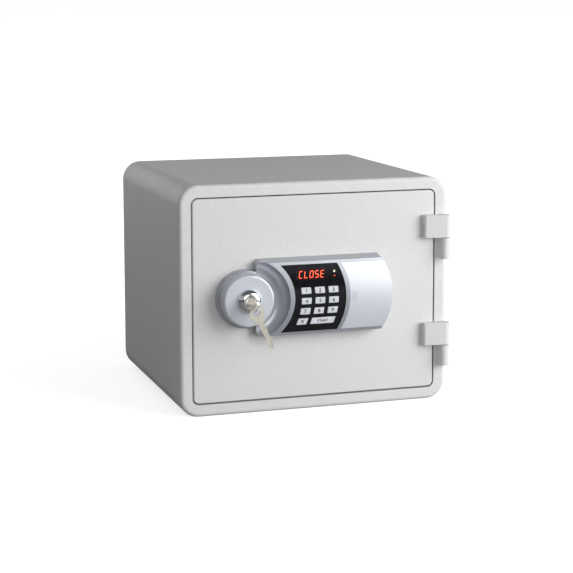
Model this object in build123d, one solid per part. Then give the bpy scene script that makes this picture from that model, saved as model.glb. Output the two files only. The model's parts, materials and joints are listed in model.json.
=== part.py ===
"""In room safe: insulated body, hinged door, boltwork, keypad lock with battery cover, turn knob and keys.

Millimetres. +X towards the hinge side, +Y to the back, +Z up. The origin is the centre of the base.
"""

import os
from math import cos, pi, radians, sin, sqrt

from build123d import *

os.makedirs("parts", exist_ok=True)

# ---- case ----
CASE_W = 412.0
CASE_H = 338.0
CASE_D = 363.0
CASE_CORNER = 28.0
FRONT_EDGE = 6.0
SHEET = 1.5
BEZEL = 18.0
OPENING_CORNER = 10.0
REAR_LIP = 14.0
REAR_FIELD_IN = 16.0
REAR_FIELD_CORNER = 12.0
REAR_GROOVE = 10.0
REAR_GROOVE_END = 30.0
SIDE_WALL = 46.0
TOP_WALL = 52.0
BACK_WALL = 50.0
LINER_SHEET = 1.2
SEAT_GAP = 0.2
STEP_IN = 12.0
STEP_DEPTH = 25.0
PLUG_ROOM = 4.0
ANCHOR_HOLE = 6.0
ANCHOR_PITCH = 200.0
SLEEVE_WALL = 2.0
CUT = 1.0

# ---- door ----
DOOR_GAP = 2.0
DOOR_CORNER = 8.0
DOOR_EDGE = 1.8
PAN_DEPTH = 20.0
PAN_LIP = 10.0
PLUG_CORNER = 10.0
PLUG_DRAFT = 1.0
LATCH_CLEARANCE = 7.0
HINGE_CLEARANCE = 5.0
PLUG_CLEARANCE = 5.0
COVER_FLANGE = 3.0
COVER_EDGE = 3.0
FIELD_IN = 40.0
FIELD_RIM = 6.0
FIELD_CORNER = 14.0
COVER_SCREW_IN = 16.0
COVER_SCREW_R = 2.2
GASKET = 3.0
GASKET_IN = 5.0
GASKET_WIDTH = 6.0
FILL_DEPTH = 36.0
FILL_INSET = 6.0
SKIN_HOLE = 14.0

# ---- hinges ----
PIN_INSET = 5.0
PIN_PROUD = 8.0
BARREL = 7.5
PIN_R = 3.5
RUN = 0.05
LEAF_HEIGHT = 34.0
KNUCKLE_HEIGHT = 31.0
HINGE_SEAM = 1.0
HINGE_LOW = 84.3
HINGE_PITCH = 162.5
LEAF_REACH = 34.0
LEAF_LEAN = 8.3
KNUCKLE_FOOT = 11.0

# ---- boltwork ----
BOLT_R = 8.0
BOLT_SPREAD = 35.0
BOLT_NEAR_GAP = 1.2
BOLT_FAR_GAP = 1.3
BOLT_SEAT = 20.0
CRANK_R = 14.0
CRANK_PIN_R = 4.0
CRANK_ARM = 4.5
FRAME_PLATE = 2.0
GUIDE_IN = 9.0
CARRIER_PLATE = 3.0
CARRIER_GAP = 1.0
CARRIER_REACH = 44.0
CARRIER_OVER = 13.0
STUD_R = 3.0
STUD_IN = 10.0
STUD_OVER = 4.0
PLUNGER_R = 3.0
SOLENOID_W = 24.0
SOLENOID_D = 15.0
SOLENOID_H = 30.0
SOLENOID_DOWN = 8.0
FIXED_BOLT_R = 7.0
FIXED_BOLT_OUT = 11.0
KEEPER_PLATE = 3.0

# ---- lock unit ----
LOCK_Z = 171.5
KNOB_X = -110.0
LOCK_PROUD = 30.0
LOCK_HEIGHT = 114.0
CROWN_R = 237.0
LOCK_LEFT = -97.0
LOCK_LEFT_CORNER = 8.0
END_APEX = 113.5
END_R = 100.0
LOCK_DRAFT = 9.0
COLLAR_R = 43.0
COLLAR_PROUD = 11.5
SCOOP_R = 61.3
SCOOP_TOP = 30.0
RIM = 7.0
PANEL_HALF = 49.2
PANEL_APEX = 36.7
PANEL_END_R = 100.0
PANEL_SUNK = 0.3
PANEL_PLATE = 1.5
COVER_APEX = 42.5
COVER_PLATE = 2.0
COVER_LIP = 19.0
COVER_GAP = 0.3
BAY_WALL = 5.0
COVER_END = 6.5
RAIL_TONGUE_LOW = 20.9
RAIL_TONGUE_HIGH = 22.3
RAIL_TONGUE_OUT = 1.2
WELL_FLOOR = 14.0
BOARD_LOW = 18.4
BOARD_PLATE = 1.6
LAMP_R = 1.6
LAMP_X = 18.9
LAMP_DZ = 37.2
DISPLAY_X = -16.0
DISPLAY_DZ = 34.5
DISPLAY_W = 46.0
DISPLAY_H = 15.0
LEAD_X = -22.0
LEAD_DZ = -26.0
LEAD_HOLE = 3.0
LOCK_SCREW_R = 1.8
LOCK_SCREW_HEAD = 4.0
LOCK_SCREW_IN = 7.0
SCREW_ANGLE = radians(53)

# ---- keypad ----
KEY_W = 15.0
KEY_H = 9.3
KEY_PITCH_X = 20.8
KEY_PITCH_Z = 15.1
KEY_MID_X = -3.5
KEY_TOP_DZ = 11.2
KEY_PROUD = 0.9
KEY_FIT = 0.25
KEY_FLANGE = 0.8
KEY_TRAVEL = 0.8
FLANGE_LOW = 22.4
FLANGE_PLATE = 1.2

# ---- knob, cylinder and keys ----
KNOB_R = 37.0
KNOB_BASE_R = 39.0
KNOB_PROUD = 28.0
HUB_R = 12.0
SPINDLE_R = 5.0
DOME_R = 18.3
DOME_PROUD = 36.5
CYLINDER_R = 8.0
PLUG_R = 5.5
HUB_DEPTH = 17.0
CYLINDER_DEPTH = 14.0
BLADE_LENGTH = 42.0
BLADE_W = 8.0
BLADE_T = 2.2
KEY_SLOT_FIT = 0.2
BOW_HALF_W = 12.0
BOW_HALF_H = 9.5
BOW_HOLE_W = 12.0
BOW_HOLE_H = 7.0
BOW_HOLE_UP = 2.0
NECK = 4.0
SPARE_TILT = 24.6
RING_R = 5.6
RING_WIRE = 0.6
RING_FIT = 0.1

# ---- batteries ----
CELL_R = 7.25
CELL_LENGTH = 50.5
CELL_PITCH = 16.0
CELL_PROUD = 13.5
TRAY_LEFT = 46.5


def plan(width, height, corner, x=0.0, z=CASE_H / 2):
    """A rounded rectangle in the X-Z plane."""
    return Pos(x, z) * RectangleRounded(width, height, corner)


def along_y(sketch, near, far):
    """The prism of an X-Z outline between two Y values."""
    return extrude(Plane.XZ.offset(-far) * sketch, amount=far - near)


def inward(sketch, near, far):
    """The prism of an X-Z outline between two depths behind the door's face."""
    return along_y(sketch, FRONT + near, FRONT + far)


def outward(sketch, low, high):
    """The prism of an X-Z outline between two heights proud of the door's face."""
    return along_y(sketch, FRONT - high, FRONT - low)


def upright(sketch, low, high):
    """The prism of an X-Y outline between two Z values."""
    return extrude(Plane.XY.offset(low) * sketch, amount=high - low)


def rod_x(radius, left, right, y, z):
    """A round bar along X."""
    return Pos((left + right) / 2, y, z) * Rot(0, 90, 0) * Cylinder(radius, right - left)


def rod_y(radius, near, far, x, z):
    """A round bar along Y."""
    return Pos(x, (near + far) / 2, z) * Rot(90, 0, 0) * Cylinder(radius, far - near)


def rod_z(radius, low, high, x, y):
    """A round bar along Z."""
    return Pos(x, y, (low + high) / 2) * Cylinder(radius, high - low)


def block(x0, x1, y0, y1, z0, z1):
    """A square-edged block given by its limits."""
    return Pos((x0 + x1) / 2, (y0 + y1) / 2, (z0 + z1) / 2) * Box(x1 - x0, y1 - y0, z1 - z0)


def about_knob(profile):
    """A turned shape from a profile of (radius, height proud of the door's face)."""
    face = make_face(Polyline(*profile, close=True)) if isinstance(profile, list) else profile
    turned = revolve(Plane.XZ * face, Axis.Z)
    return Pos(KNOB_X, FRONT, LOCK_Z) * Rot(90, 0, 0) * turned


def save(name, shape):
    """Write one named piece."""
    shape.label = name
    export_step(shape, f"parts/{name}.step")


# ======== case ========
FRONT = -CASE_D / 2
BACK = CASE_D / 2
MID_Z = CASE_H / 2
OPENING_W = CASE_W - 2 * BEZEL
OPENING_H = CASE_H - 2 * BEZEL
INNER_OPENING_W = OPENING_W - 2 * STEP_IN
INNER_OPENING_H = OPENING_H - 2 * STEP_IN
CAVITY_W = CASE_W - 2 * SIDE_WALL
CAVITY_H = CASE_H - 2 * TOP_WALL
CAVITY_END = CASE_D - BACK_WALL
BOLT_DEPTH = FILL_DEPTH + FRAME_PLATE + BOLT_NEAR_GAP + BOLT_R
PLUG_END = BOLT_DEPTH + BOLT_R + BOLT_FAR_GAP + SHEET
JAMB_DEPTH = PLUG_END + PLUG_ROOM
BOLT_HEIGHTS = [LOCK_Z - BOLT_SPREAD, LOCK_Z + BOLT_SPREAD]
HINGE_SEAMS = {"upper": HINGE_LOW + HINGE_PITCH, "lower": HINGE_LOW}
PIN_X = CASE_W / 2 - PIN_INSET
PIN_Y = FRONT - PIN_PROUD


def case_body(inset, front, back):
    """The case's outer form, drawn in by an inset, with its rounded front edge."""
    outline = plan(CASE_W - 2 * inset, CASE_H - 2 * inset, CASE_CORNER - inset)
    body = along_y(outline, front, back)
    return fillet(body.edges().group_by(Axis.Y)[0], FRONT_EDGE - inset)


def anchor_holes(radius, low, high):
    """Two upright bars at the floor anchor positions."""
    return [rod_z(radius, low, high, side * ANCHOR_PITCH / 2, 0) for side in (-1, 1)]


def case_shell():
    shell = case_body(0, FRONT, BACK) - case_body(SHEET, FRONT + SHEET, BACK - SHEET)
    shell -= inward(plan(OPENING_W, OPENING_H, OPENING_CORNER), -1, 2 * SHEET + FRONT_EDGE)
    rear = plan(CASE_W - 2 * REAR_LIP, CASE_H - 2 * REAR_LIP, CASE_CORNER - REAR_LIP)
    shell -= along_y(rear, BACK - 2 * SHEET, BACK + CUT)
    return shell - anchor_holes(ANCHOR_HOLE, -1, SHEET + 1)


def back_panel():
    """A plate behind the rear lip with a raised field and two sunk stiffening grooves."""
    inset = SHEET + SEAT_GAP
    seat = BACK - SHEET
    plate = along_y(plan(CASE_W - 2 * inset, CASE_H - 2 * inset, CASE_CORNER - inset), seat - SHEET, seat)
    field_w = CASE_W - 2 * (REAR_LIP + REAR_FIELD_IN)
    field_h = CASE_H - 2 * (REAR_LIP + REAR_FIELD_IN)
    plate += along_y(plan(field_w, field_h, REAR_FIELD_CORNER), seat, seat + SHEET)
    for side in (-1, 1):
        length = field_w - 2 * REAR_GROOVE_END
        groove = plan(length, REAR_GROOVE, 0.49 * REAR_GROOVE, 0, MID_Z + side * field_h / 4)
        plate -= along_y(groove, seat + SHEET / 2, seat + 2 * SHEET)
    return plate


def front_frame():
    """The stepped door jamb: front flange, outer jamb, step, inner jamb with bolt holes."""
    flange_inset = SHEET + FRONT_EDGE - 0.5
    flange = plan(CASE_W - 2 * flange_inset, CASE_H - 2 * flange_inset, CASE_CORNER - flange_inset)
    frame = inward(flange, SHEET, 2 * SHEET)
    outer = plan(OPENING_W + 2 * SHEET, OPENING_H + 2 * SHEET, OPENING_CORNER + SHEET)
    frame += inward(outer, SHEET, STEP_DEPTH + SHEET)
    inner = plan(INNER_OPENING_W + 2 * SHEET, INNER_OPENING_H + 2 * SHEET, OPENING_CORNER - 2 + SHEET)
    frame += inward(inner, STEP_DEPTH, JAMB_DEPTH)
    frame -= inward(plan(OPENING_W, OPENING_H, OPENING_CORNER), 0, STEP_DEPTH)
    frame -= inward(plan(INNER_OPENING_W, INNER_OPENING_H, OPENING_CORNER - 2), 0, JAMB_DEPTH + 1)
    for z in BOLT_HEIGHTS:
        frame -= live_bolt_hole(1.5, -INNER_OPENING_W / 2 - SHEET - 1, -INNER_OPENING_W / 2 + 1, z)
        frame -= fixed_bolt_slot(1.0, INNER_OPENING_W / 2 - 1, INNER_OPENING_W / 2 + SHEET + 1, z)
    return frame


def live_bolt_hole(gap, left, right, z):
    """The round hole that a live bolt shoots through."""
    return rod_x(BOLT_R + gap, left, right, FRONT + BOLT_DEPTH, z)


def fixed_bolt_slot(gap, left, right, z):
    """The slot that a fixed bolt swings out of: a bore drawn out towards the front."""
    swing_room = 6.0
    radius = FIXED_BOLT_R + gap
    y = FRONT + BOLT_DEPTH
    slot = rod_x(radius, left, right, y, z) + rod_x(radius, left, right, y - swing_room, z)
    return slot + block(left, right, y - swing_room, y, z - radius, z + radius)


def cavity_outline(grow):
    """The cavity's square-cornered section, grown all round."""
    return Pos(0, MID_Z) * Rectangle(CAVITY_W + 2 * grow, CAVITY_H + 2 * grow)


def inner_liner():
    """The liner's front ring, which meets the inner jamb and carries the liner's flat panels."""
    ring = plan(INNER_OPENING_W + 2 * SHEET, INNER_OPENING_H + 2 * SHEET, OPENING_CORNER - 2 + SHEET)
    return inward(ring - cavity_outline(0), JAMB_DEPTH, JAMB_DEPTH + LINER_SHEET)


def liner_panel(left, right, low, high):
    """A flat panel that runs from the liner's front ring to its back panel."""
    return block(left, right, FRONT + JAMB_DEPTH + LINER_SHEET, FRONT + CAVITY_END, low, high)


def liner_floor():
    """The cavity's floor, with the anchor holes."""
    half = CAVITY_W / 2 + LINER_SHEET
    floor = liner_panel(-half, half, TOP_WALL - LINER_SHEET, TOP_WALL)
    return floor - anchor_holes(ANCHOR_HOLE, TOP_WALL - 2 * LINER_SHEET, TOP_WALL + CUT)


def liner_roof():
    """The cavity's roof."""
    half = CAVITY_W / 2 + LINER_SHEET
    return liner_panel(-half, half, CASE_H - TOP_WALL, CASE_H - TOP_WALL + LINER_SHEET)


def liner_sides():
    """The cavity's two side walls, between its floor and its roof."""
    inside = CAVITY_W / 2
    outside = inside + LINER_SHEET
    limits = [(-outside, -inside), (inside, outside)]
    return Compound(children=[liner_panel(*x, TOP_WALL, CASE_H - TOP_WALL) for x in limits])


def liner_back():
    """The cavity's back wall, which closes the other four panels."""
    return inward(cavity_outline(LINER_SHEET), CAVITY_END, CAVITY_END + LINER_SHEET)


def insulation_body():
    """The fill between the shell, the jamb and the liner."""
    inset = SHEET + SEAT_GAP
    outline = plan(CASE_W - 2 * inset, CASE_H - 2 * inset, CASE_CORNER - inset)
    fill = along_y(outline, FRONT + 2 * SHEET + FRONT_EDGE, BACK - 2 * SHEET - SEAT_GAP)
    jamb = SHEET + SEAT_GAP
    mouth = plan(OPENING_W + 2 * jamb, OPENING_H + 2 * jamb, OPENING_CORNER + jamb)
    fill -= inward(mouth, 0, STEP_DEPTH + jamb)
    neck = plan(INNER_OPENING_W + 2 * jamb, INNER_OPENING_H + 2 * jamb, OPENING_CORNER - 2 + jamb)
    fill -= inward(neck, 0, JAMB_DEPTH + LINER_SHEET + SEAT_GAP)
    liner = LINER_SHEET + SEAT_GAP
    fill -= inward(cavity_outline(liner), JAMB_DEPTH, CAVITY_END + liner)
    fill -= anchor_holes(ANCHOR_HOLE + SLEEVE_WALL + SEAT_GAP, 0, TOP_WALL)
    left = -INNER_OPENING_W / 2 - SHEET - KEEPER_PLATE - THROW
    right = INNER_OPENING_W / 2 + SHEET + FIXED_BOLT_OUT
    for z in BOLT_HEIGHTS:
        fill -= live_bolt_hole(2.5, left, 0, z)
        fill -= fixed_bolt_slot(2.0, 0, right, z)
    seat = keeper_limits()
    g = SEAT_GAP
    return fill - block(seat[0] - g, seat[1] + g, seat[2] - g, seat[3] + g, seat[4] - g, seat[5] + g)


def keeper_limits():
    """The keeper plate's limits: behind the latch side of the inner jamb, round both bolts."""
    wall = -INNER_OPENING_W / 2 - SHEET
    half = BOLT_SPREAD + BOLT_R + 8
    y = FRONT + BOLT_DEPTH
    return (wall - KEEPER_PLATE, wall, y - BOLT_R - 5, y + BOLT_R + 5, LOCK_Z - half, LOCK_Z + half)


def keeper_plate():
    plate = block(*keeper_limits())
    plate = fillet(plate.edges().filter_by(Axis.X), 5)
    for z in BOLT_HEIGHTS:
        plate -= live_bolt_hole(0.8, -CASE_W / 2, 0, z)
    return plate


def anchor_sleeves():
    """Two tubes that line the floor anchor holes through the fill."""
    low = SHEET
    high = TOP_WALL - LINER_SHEET
    outer = anchor_holes(ANCHOR_HOLE + SLEEVE_WALL, low, high)
    inner = anchor_holes(ANCHOR_HOLE, low - 1, high + 1)
    return Compound(children=[tube - bore for tube, bore in zip(outer, inner)])


# ======== door ========
DOOR_W = OPENING_W - 2 * DOOR_GAP
DOOR_H = OPENING_H - 2 * DOOR_GAP
PLUG_LEFT = -INNER_OPENING_W / 2 + LATCH_CLEARANCE
PLUG_RIGHT = INNER_OPENING_W / 2 - HINGE_CLEARANCE
PLUG_W = PLUG_RIGHT - PLUG_LEFT
PLUG_X = (PLUG_LEFT + PLUG_RIGHT) / 2
PLUG_H = INNER_OPENING_H - 2 * PLUG_CLEARANCE
PLUG_DEPTH = PLUG_END - PAN_DEPTH
LIP_W = DOOR_W - 2 * SHEET - 2 * PAN_LIP
LIP_H = DOOR_H - 2 * SHEET - 2 * PAN_LIP


def door_skin():
    """The door's front pan with a rolled front edge and a rear lip."""
    skin = inward(plan(DOOR_W, DOOR_H, DOOR_CORNER), 0, PAN_DEPTH)
    skin = fillet(skin.edges().group_by(Axis.Y)[0], DOOR_EDGE)
    inner = plan(DOOR_W - 2 * SHEET, DOOR_H - 2 * SHEET, DOOR_CORNER - SHEET)
    skin -= inward(inner, SHEET, PAN_DEPTH - SHEET)
    skin -= inward(plan(LIP_W, LIP_H, DOOR_CORNER), SHEET, PAN_DEPTH + 1)
    skin -= rod_y(SKIN_HOLE, FRONT - 1, FRONT + 2 * SHEET, KNOB_X, LOCK_Z)
    for x, z in lock_screw_places():
        skin -= rod_y(LOCK_SCREW_R + 0.8, FRONT - CUT, FRONT + 2 * SHEET, x, z)
    return skin - lead_hole(LEAD_HOLE + 2, FRONT - CUT, FRONT + 2 * SHEET)


def lead_hole(radius, near, far):
    """The bar that opens a passage for the lead between the lock unit and the boltwork."""
    return rod_y(radius, near, far, LEAD_X, LOCK_Z + LEAD_DZ)


def lock_screw_places():
    """Screws from behind the door skin: two under the scoop, two in the side rails."""
    left = KNOB_X + (COLLAR_R + SCOOP_R) / 2 * cos(SCREW_ANGLE)
    left_dz = (COLLAR_R + SCOOP_R) / 2 * sin(SCREW_ANGLE)
    right = END_APEX - END_R / 3
    right_dz = (PANEL_HALF + RAIL_TONGUE_OUT + LOCK_HEIGHT / 2) / 2 - 0.4
    return [(x, LOCK_Z + side * dz) for x, dz in ((left, left_dz), (right, right_dz)) for side in (-1, 1)]


def plug_outline(inset):
    """The plug's outline, drawn in by an inset."""
    return plan(PLUG_W - 2 * inset, PLUG_H - 2 * inset, PLUG_CORNER - inset, PLUG_X)


def plug_block(near, far, inset):
    """The drafted plug form between two depths, drawn in by an inset."""
    rise = PLUG_DRAFT / PLUG_DEPTH
    front_in = inset + (near - PAN_DEPTH) * rise
    rear_in = inset + (far - PAN_DEPTH) * rise
    front_face = Plane.XZ.offset(-(FRONT + near)) * plug_outline(front_in)
    rear_face = Plane.XZ.offset(-(FRONT + far)) * plug_outline(rear_in)
    return loft([front_face, rear_face])


def door_inner_cover():
    """The drafted pan behind the door, with a flange, bolt holes and a raised field."""
    flange = plan(DOOR_W - 2 * COVER_FLANGE, DOOR_H - 2 * COVER_FLANGE, DOOR_CORNER)
    cover = inward(flange, PAN_DEPTH, PAN_DEPTH + SHEET)
    cover += plug_block(PAN_DEPTH, PLUG_END, 0)
    cover = fillet(cover.edges().group_by(Axis.Y)[-1], COVER_EDGE)
    cover -= plug_block(PAN_DEPTH, PLUG_END - SHEET, SHEET)
    field_w = PLUG_W - 2 * FIELD_IN
    field_h = PLUG_H - 2 * FIELD_IN
    cover += inward(plan(field_w, field_h, FIELD_CORNER, PLUG_X), PLUG_END, PLUG_END + SHEET)
    rim = 2 * FIELD_RIM
    sunk = plan(field_w - rim, field_h - rim, FIELD_CORNER - FIELD_RIM / 2, PLUG_X)
    cover -= inward(sunk, PLUG_END + SHEET / 2, PLUG_END + 2 * SHEET)
    for z in BOLT_HEIGHTS:
        cover -= rod_x(BOLT_R + 0.6, PLUG_LEFT - 2, PLUG_LEFT + 8, FRONT + BOLT_DEPTH, z)
        cover -= rod_x(FIXED_BOLT_R, PLUG_RIGHT - 8, PLUG_RIGHT + 2, FRONT + BOLT_DEPTH, z)
    for x, z in cover_screw_places():
        cover -= rod_y(COVER_SCREW_R, FRONT + PLUG_END - 2 * SHEET, FRONT + PLUG_END + 2 * SHEET, x, z)
    return cover


def cover_screw_places():
    """Six screws near the inner cover's rim."""
    x = PLUG_W / 2 - COVER_SCREW_IN
    z = PLUG_H / 2 - COVER_SCREW_IN
    return [(PLUG_X + sx * x, MID_Z + sz * z) for sx in (-1, 0, 1) for sz in (-1, 1)]


def cover_screws():
    """Pan-head screws through the inner cover into the bolt frame's posts."""
    screws = []
    seat = FRONT + PLUG_END
    for x, z in cover_screw_places():
        head = rod_y(4.2, seat, seat + 2.2, x, z)
        head = fillet(head.edges().group_by(Axis.Y)[-1], 1.2)
        head -= block(x - 0.5, x + 0.5, seat + 1.2, seat + 3, z - 2.6, z + 2.6)
        head -= block(x - 2.6, x + 2.6, seat + 1.2, seat + 3, z - 0.5, z + 0.5)
        screws.append(head + rod_y(COVER_SCREW_R, seat - SHEET - 8, seat, x, z))
    return Compound(children=screws)


def door_insulation():
    """The fill inside the front pan and the front of the plug."""
    inset = SHEET + SEAT_GAP
    pan = plan(DOOR_W - 2 * inset, DOOR_H - 2 * inset, DOOR_CORNER - inset)
    fill = inward(pan, inset, PAN_DEPTH - inset)
    rear = plan(PLUG_W - 2 * FILL_INSET, PLUG_H - 2 * FILL_INSET, DOOR_CORNER, PLUG_X)
    fill += inward(rear, PAN_DEPTH - inset, FILL_DEPTH)
    fill -= rod_y(SKIN_HOLE, FRONT, FRONT + FILL_DEPTH + CUT, KNOB_X, LOCK_Z)
    for x, z in lock_screw_places():
        fill -= rod_y(LOCK_SCREW_HEAD + 2, FRONT, FRONT + SHEET + 8, x, z)
    return fill - lead_hole(LEAD_HOLE + 2, FRONT, FRONT + FILL_DEPTH + CUT)


def door_gasket():
    """The heat seal strip on the cover's flange, running round the plug."""
    outer = plan(OPENING_W - 2 * GASKET_IN, OPENING_H - 2 * GASKET_IN, OPENING_CORNER - 2)
    width = 2 * (GASKET_IN + GASKET_WIDTH)
    inner = plan(OPENING_W - width, OPENING_H - width, OPENING_CORNER - 4)
    near = PAN_DEPTH + SHEET
    strip = inward(outer, near, near + GASKET) - inward(inner, near - CUT, near + GASKET + CUT)
    return fillet(strip.edges().group_by(Axis.Y)[-1], 0.4 * GASKET)


# ======== hinges ========
def leaf_profile():
    """A hinge block's section: a plate on the door that runs tangent into the barrel."""
    lean = radians(LEAF_LEAN)
    touch_x = PIN_X - BARREL * sin(lean)
    touch_p = PIN_PROUD + BARREL * cos(lean)
    left = PIN_X - LEAF_REACH
    door_edge = DOOR_W / 2
    lift = PIN_PROUD - BARREL + 0.1
    corners = [
        (left, 0),
        (door_edge, 0),
        (door_edge, lift),
        (PIN_X, lift),
        (touch_x, touch_p),
        (left, touch_p - (touch_x - left) * sin(lean) / cos(lean)),
    ]
    plate = make_face(Polyline(*corners, close=True))
    section = plate + Pos(PIN_X, PIN_PROUD) * Circle(BARREL)
    corner = section.vertices().sort_by(Axis.X)[:2].sort_by(Axis.Y)[-1]
    return fillet(corner, 4)


def knuckle_foot():
    """The section of the foot that joins a knuckle's barrel to the bezel."""
    return make_face(
        Polyline(
            (PIN_X - KNUCKLE_FOOT, 0),
            (PIN_X - 1, 0),
            (PIN_X + BARREL * 0.6, PIN_PROUD - BARREL * 0.8),
            (PIN_X, PIN_PROUD),
            (PIN_X - BARREL * 0.8, PIN_PROUD + BARREL * 0.6),
            close=True,
        )
    )


def on_front(sketch, low, high):
    """The upright prism of a section drawn as (X, height proud of the door's face)."""
    plane = Plane(origin=(0, FRONT, low), x_dir=(1, 0, 0), z_dir=(0, 0, -1))
    return extrude(plane * sketch, amount=-(high - low))


def hinge_leaf(seam):
    low = seam + HINGE_SEAM / 2
    leaf = on_front(leaf_profile(), low, low + LEAF_HEIGHT)
    ends = leaf.faces().sort_by(Axis.Z)
    leaf = chamfer(ends[-1].edges() + ends[0].edges(), 0.6)
    return leaf - rod_z(PIN_R + RUN, low - 1, low + LEAF_HEIGHT - 3.5, PIN_X, PIN_Y)


def hinge_knuckle(seam):
    high = seam - HINGE_SEAM / 2
    barrel = rod_z(BARREL, high - KNUCKLE_HEIGHT, high, PIN_X, PIN_Y)
    knuckle = chamfer(barrel.edges().group_by(Axis.Z)[0], 0.8)
    knuckle += on_front(knuckle_foot(), high - KNUCKLE_HEIGHT + 0.8, high)
    return knuckle - rod_z(PIN_R, high - KNUCKLE_HEIGHT + 4, high + 1, PIN_X, PIN_Y)


def hinge_pin(seam):
    low = seam - HINGE_SEAM / 2 - KNUCKLE_HEIGHT + 4
    pin = rod_z(PIN_R, low, seam + HINGE_SEAM / 2 + LEAF_HEIGHT - 4.5, PIN_X, PIN_Y)
    return chamfer(pin.edges().group_by(Axis.Z)[-1], 0.8)


def hinge_washers():
    """A thin bearing washer on each knuckle."""
    washers = []
    for seam in HINGE_SEAMS.values():
        low = seam - HINGE_SEAM / 2
        ring = rod_z(BARREL - 1, low, low + 0.8, PIN_X, PIN_Y)
        washers.append(ring - rod_z(PIN_R, low - 1, low + 2, PIN_X, PIN_Y))
    return Compound(children=washers)


# ======== boltwork ========
THROW = 2 * CRANK_R * sin(pi / 4)
FRAME_NEAR = FILL_DEPTH
CARRIER_NEAR = FRAME_NEAR + FRAME_PLATE + CARRIER_GAP
CARRIER_FAR = CARRIER_NEAR + CARRIER_PLATE
BOLT_TIP = PLUG_LEFT + PLUG_DRAFT
GUIDE_X = BOLT_TIP + GUIDE_IN
CARRIER_LEFT = GUIDE_X + FRAME_PLATE + THROW + CARRIER_GAP
CARRIER_RIGHT = KNOB_X + CARRIER_REACH
CARRIER_HALF = BOLT_SPREAD + CARRIER_OVER
STUD_X = CARRIER_RIGHT - STUD_IN
STUD_DZ = BOLT_SPREAD + STUD_OVER
SOLENOID_X = CARRIER_RIGHT - SOLENOID_W / 3
SOLENOID_TOP = LOCK_Z - CARRIER_HALF - SOLENOID_DOWN


def bolt_frame():
    """The plate that carries the boltwork, with a bolt guide flange and a spindle bush."""
    near = FRAME_NEAR
    plate = plan(PLUG_W - 2 * (SHEET + 8), PLUG_H - 2 * (SHEET + 8), 6, PLUG_X)
    frame = inward(plate, near, near + FRAME_PLATE)
    half = BOLT_SPREAD + BOLT_R + 7
    far = PLUG_END - SHEET - 1
    guide = (GUIDE_X, GUIDE_X + FRAME_PLATE, FRONT + near, FRONT + far, LOCK_Z - half, LOCK_Z + half)
    frame += block(*guide)
    frame += rod_y(SPINDLE_R + 3, FRONT + near, FRONT + CARRIER_NEAR - 0.5, KNOB_X, LOCK_Z)
    frame -= rod_y(SPINDLE_R + RUN, FRONT, FRONT + PLUG_END, KNOB_X, LOCK_Z)
    for z in BOLT_HEIGHTS:
        frame -= rod_x(BOLT_R + 0.1, GUIDE_X - CUT, GUIDE_X + FRAME_PLATE + CUT, FRONT + BOLT_DEPTH, z)
    frame -= lead_hole(LEAD_HOLE + 2, FRONT + near - CUT, FRONT + near + FRAME_PLATE + CUT)
    for x, z in cover_screw_places():
        post = rod_y(2 * COVER_SCREW_R, FRONT + near, FRONT + PLUG_END - SHEET - SEAT_GAP, x, z)
        frame += post - rod_y(COVER_SCREW_R, FRONT + PLUG_END - SHEET - 8.5, FRONT + PLUG_END, x, z)
    return frame


def carrier_studs():
    """Shouldered studs on the frame that the carrier's slots slide along."""
    studs = []
    for side in (-1, 1):
        z = LOCK_Z + side * STUD_DZ
        shank = rod_y(STUD_R, FRONT + FRAME_NEAR + FRAME_PLATE, FRONT + CARRIER_FAR + 0.5, STUD_X, z)
        head = rod_y(STUD_R + 3, FRONT + CARRIER_FAR + 0.5, FRONT + CARRIER_FAR + 2.5, STUD_X, z)
        studs.append(shank + fillet(head.edges().group_by(Axis.Y)[-1], 0.6))
    return Compound(children=studs)


def bolt_carrier():
    """The sliding plate that joins the bolts, with the crank's slot and two guide slots."""
    outline = Rectangle(CARRIER_RIGHT - CARRIER_LEFT, 2 * CARRIER_HALF)
    outline = Pos((CARRIER_LEFT + CARRIER_RIGHT) / 2, LOCK_Z) * fillet(outline.vertices(), 6)
    carrier = inward(outline, CARRIER_NEAR, CARRIER_FAR)
    near = FRONT + CARRIER_NEAR - 1
    far = FRONT + CARRIER_FAR + 1
    room = SPINDLE_R + 1
    carrier -= block(KNOB_X - room, KNOB_X + THROW + room, near, far, LOCK_Z - room, LOCK_Z + room)
    half = CRANK_PIN_R + 0.7
    pin_x = KNOB_X + THROW / 2
    low = LOCK_Z + THROW / 2 - CRANK_PIN_R - 0.8
    high = LOCK_Z + CRANK_R + CRANK_PIN_R + 1
    carrier -= block(pin_x - half, pin_x + half, near, far, low, high)
    for side in (-1, 1):
        slot = SlotCenterToCenter(THROW + 1.4, 2 * STUD_R + 0.6)
        slot = Pos(STUD_X + THROW / 2, LOCK_Z + side * STUD_DZ) * slot
        carrier -= along_y(slot, near, far)
    return carrier - along_y(plan(8, 26, 3, CARRIER_LEFT + 10, LOCK_Z), near, far)


def live_bolt(z):
    """A round bolt whose tail is milled flat to seat on the carrier."""
    tail = CARRIER_LEFT + BOLT_SEAT
    bolt = rod_x(BOLT_R, BOLT_TIP, tail, FRONT + BOLT_DEPTH, z)
    bolt = chamfer(bolt.edges().group_by(Axis.X)[0], 1.5)
    flat = CARRIER_LEFT - CARRIER_GAP / 2
    return bolt - block(flat, tail + CUT, FRONT, FRONT + CARRIER_FAR, z - 2 * BOLT_R, z + 2 * BOLT_R)


def fixed_bolts():
    """Two fixed bolts on the hinge side, riveted to the inner cover's wall."""
    bolts = []
    y = FRONT + BOLT_DEPTH
    wall = PLUG_RIGHT - PLUG_DRAFT - SHEET
    for z in BOLT_HEIGHTS:
        bolt = rod_x(FIXED_BOLT_R, wall - 12, PLUG_RIGHT + FIXED_BOLT_OUT - HINGE_CLEARANCE + 3, y, z)
        bolts.append(chamfer(bolt.edges().group_by(Axis.X)[-1], 2))
    return Compound(children=bolts)


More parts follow.
